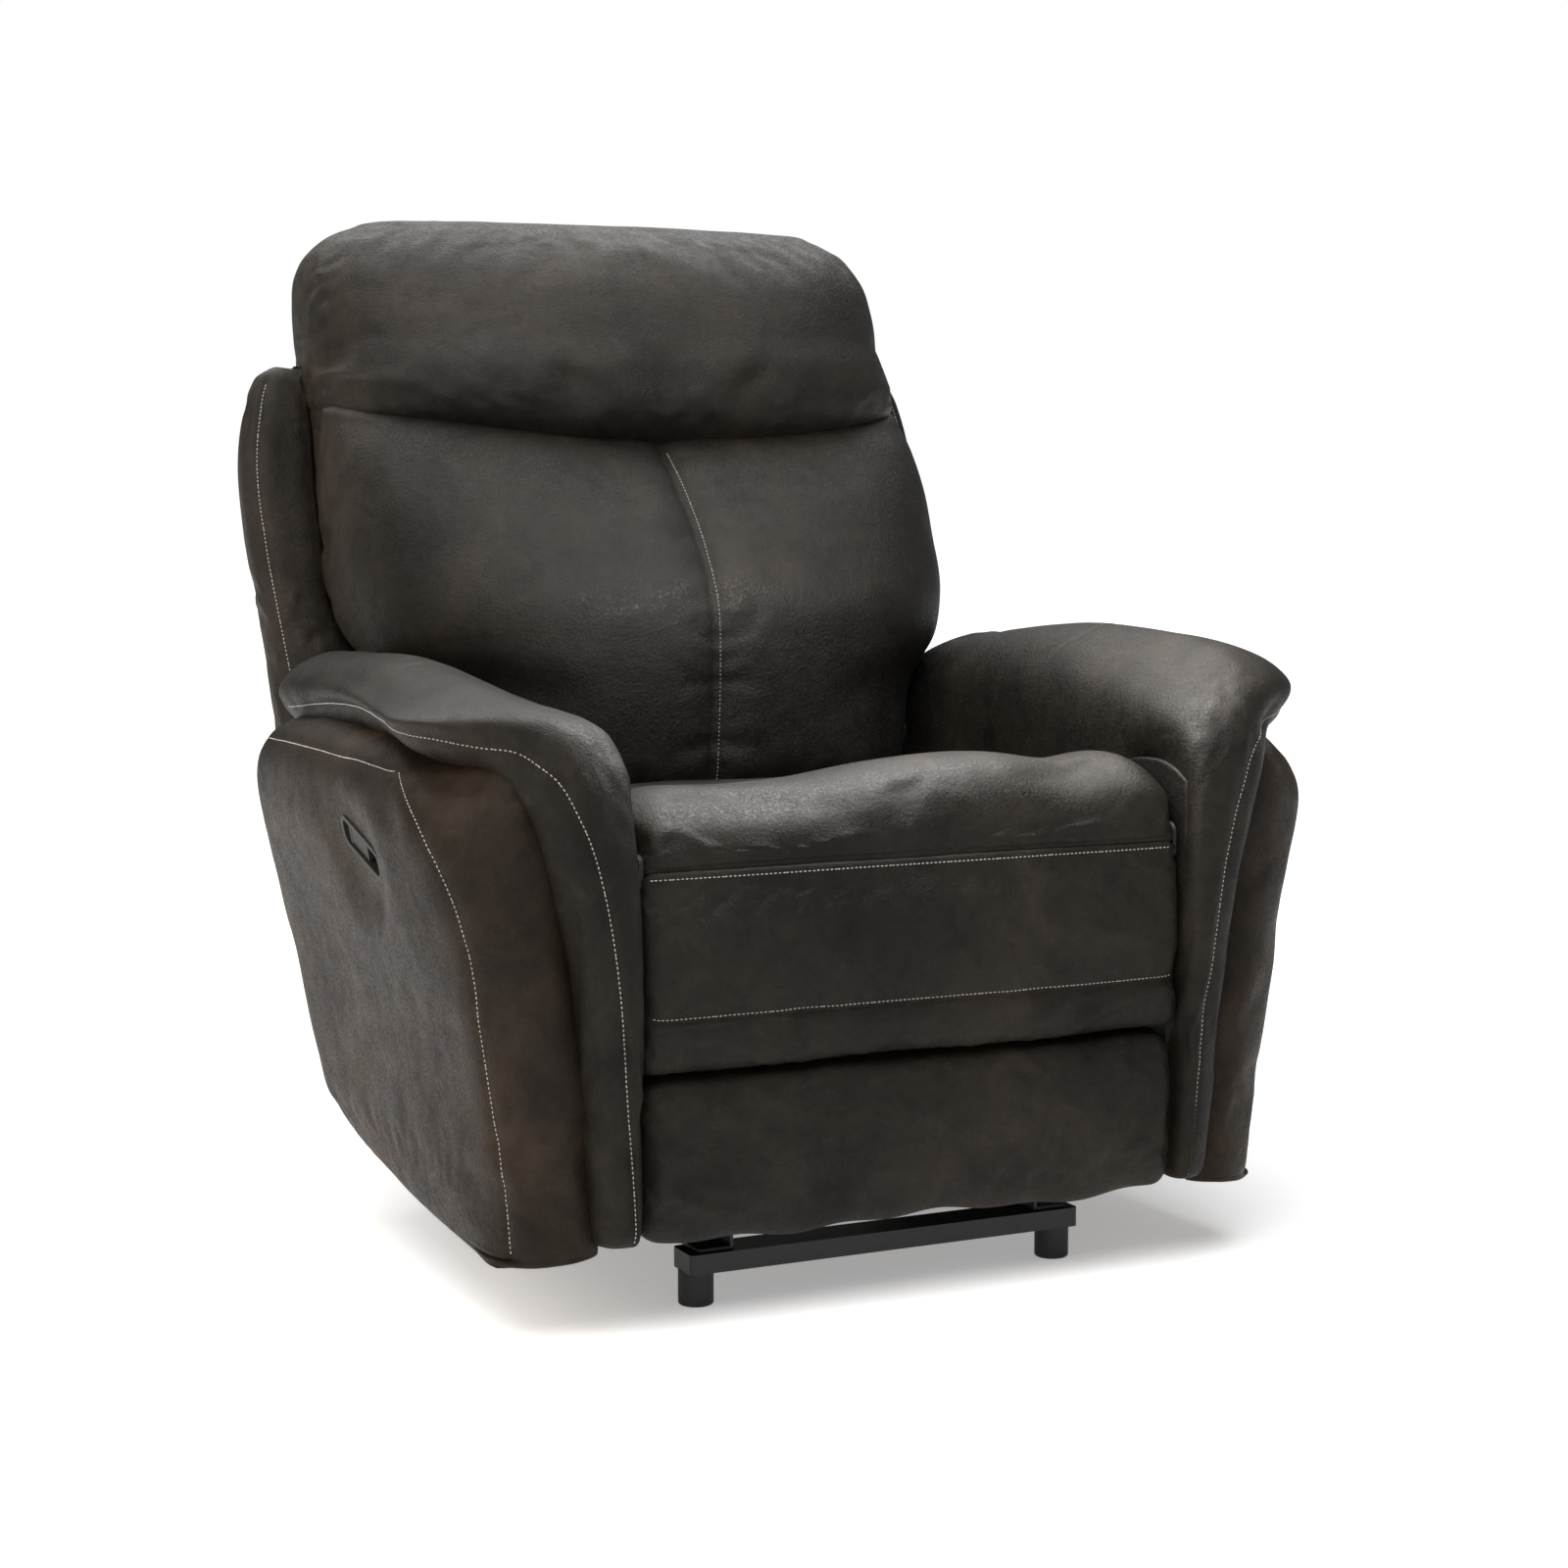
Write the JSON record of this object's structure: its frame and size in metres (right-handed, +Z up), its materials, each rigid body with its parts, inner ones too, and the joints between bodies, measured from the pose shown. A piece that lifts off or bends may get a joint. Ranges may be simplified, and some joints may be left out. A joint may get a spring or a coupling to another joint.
{
  "type": "recliner armchair",
  "caption": "Leather-look recliner armchair with a reclining back, fold-out footrest, pillow arms with flared side panels and a recessed pull latch on a steel base.",
  "frame": {"origin": "on the floor under the middle of the chair's overall box", "axes": "+X to the right seen from the front, -Y to the front, +Z up"},
  "size_m": [0.9654, 0.898, 1.0657],
  "materials": {
    "leather": "satin",
    "base_steel": "satin",
    "mechanism_steel": "satin",
    "spring_steel": "satin",
    "latch_metal": "satin",
    "foot_plastic": "matte",
    "plywood": "matte",
    "hardwood": "matte"
  },
  "bodies": {
    "base": {"base_crossbar_front": "base_steel", "base_crossbar_rear": "base_steel", "base_track_left": "base_steel", "base_track_right": "base_steel", "foot_front_left": "foot_plastic", "foot_front_right": "foot_plastic", "foot_rear_left": "foot_plastic", "foot_rear_right": "foot_plastic"},
    "chassis": {"carriage_runner_left": "base_steel", "carriage_runner_right": "base_steel", "mechanism_plate_left": "mechanism_steel", "mechanism_plate_right": "mechanism_steel", "seat_side_rail_left": "hardwood", "seat_side_rail_right": "hardwood", "seat_front_rail": "hardwood", "seat_rear_rail": "hardwood", "seat_springs": "spring_steel", "seat_cushion": "leather", "chaise_hinge_plates": "mechanism_steel", "tube_hangers": "mechanism_steel", "arm_inner_skin_left": "leather", "arm_inner_skin_right": "leather", "arm_inner_board_left": "plywood", "arm_inner_board_right": "plywood", "arm_front_board_left": "plywood", "arm_front_board_right": "plywood", "arm_top_board_left": "plywood", "arm_top_board_right": "plywood", "arm_rear_board_left": "plywood", "arm_rear_board_right": "plywood", "arm_pad_left": "leather", "arm_pad_right": "leather", "arm_outer_panel_left": "leather", "arm_outer_panel_right": "leather", "latch_bezel": "latch_metal", "latch_pin": "mechanism_steel"},
    "back": {"back_post_left": "hardwood", "back_post_right": "hardwood", "back_wing_left": "leather", "back_wing_right": "leather", "back_top_rail": "hardwood", "back_low_rail": "hardwood", "back_brackets": "mechanism_steel", "back_rear_cover": "leather", "lumbar_cushion": "leather", "head_cushion": "leather"},
    "chaise_panel": {"chaise_board": "plywood", "chaise_pad": "leather", "chaise_ears": "mechanism_steel", "footrest_guides": "mechanism_steel"},
    "footrest": {"footrest_board": "plywood", "footrest_pad": "leather", "footrest_slide_bars": "mechanism_steel", "footrest_lugs": "mechanism_steel"},
    "thigh_inner": {"thigh_links_inner": "mechanism_steel", "torque_tube": "mechanism_steel"},
    "shin_inner": {"shin_links_inner": "mechanism_steel"},
    "thigh_outer": {"thigh_links_outer": "mechanism_steel"},
    "shin_outer": {"shin_links_outer": "mechanism_steel"},
    "latch": {"latch_lever": "latch_metal"}
  },
  "joints": [
    {"name": "carriage_slide", "type": "slide", "parent": "base", "child": "chassis", "axis": [0, -1, 0], "range_m": [0, 0.12]},
    {"name": "back_recline", "type": "hinge", "parent": "chassis", "child": "back", "pos_m": [0, 0.12, 0.36], "axis": [-1, 0, 0], "range_deg": [0, 32]},
    {"name": "footrest_raise", "type": "hinge", "parent": "chassis", "child": "chaise_panel", "pos_m": [0, -0.42, 0.428], "axis": [-1, 0, 0], "range_deg": [0, 90]},
    {"name": "footrest_extend", "type": "slide", "parent": "chaise_panel", "child": "footrest", "axis": [0, 0, -1], "range_m": [0, 0.07]},
    {"name": "thigh_inner_turn", "type": "hinge", "parent": "chassis", "child": "thigh_inner", "pos_m": [0, -0.31, 0.335], "axis": [-1, 0, 0], "range_deg": [0, 130.86]},
    {"name": "shin_inner_turn", "type": "hinge", "parent": "thigh_inner", "child": "shin_inner", "pos_m": [0, -0.11849, 0.19035], "axis": [-1, 0, 0], "range_deg": [-102.83, 0]},
    {"name": "thigh_outer_turn", "type": "hinge", "parent": "chassis", "child": "thigh_outer", "pos_m": [0, -0.25, 0.335], "axis": [-1, 0, 0], "range_deg": [0, 108.5]},
    {"name": "shin_outer_turn", "type": "hinge", "parent": "thigh_outer", "child": "shin_outer", "pos_m": [0, -0.12973, 0.13311], "axis": [-1, 0, 0], "range_deg": [-110.8, 0]},
    {"name": "latch_pull", "type": "hinge", "parent": "chassis", "child": "latch", "pos_m": [-0.46486, -0.16737, 0.44467], "axis": [0.2846, 0.3899, -0.8758], "range_deg": [0, 30], "stiffness_Nm_per_rad": 0.5}
  ],
  "couplings": [
    {"joint": "carriage_slide", "follows": "back_recline", "m_per_rad": 0.21486},
    {"joint": "footrest_extend", "follows": "footrest_raise", "m_per_rad": 0.044562},
    {"joint": "thigh_inner_turn", "follows": "footrest_raise", "ratio": 1.454},
    {"joint": "shin_inner_turn", "follows": "footrest_raise", "ratio": -1.1425},
    {"joint": "thigh_outer_turn", "follows": "footrest_raise", "ratio": 1.2056},
    {"joint": "shin_outer_turn", "follows": "footrest_raise", "ratio": -1.2311}
  ]
}
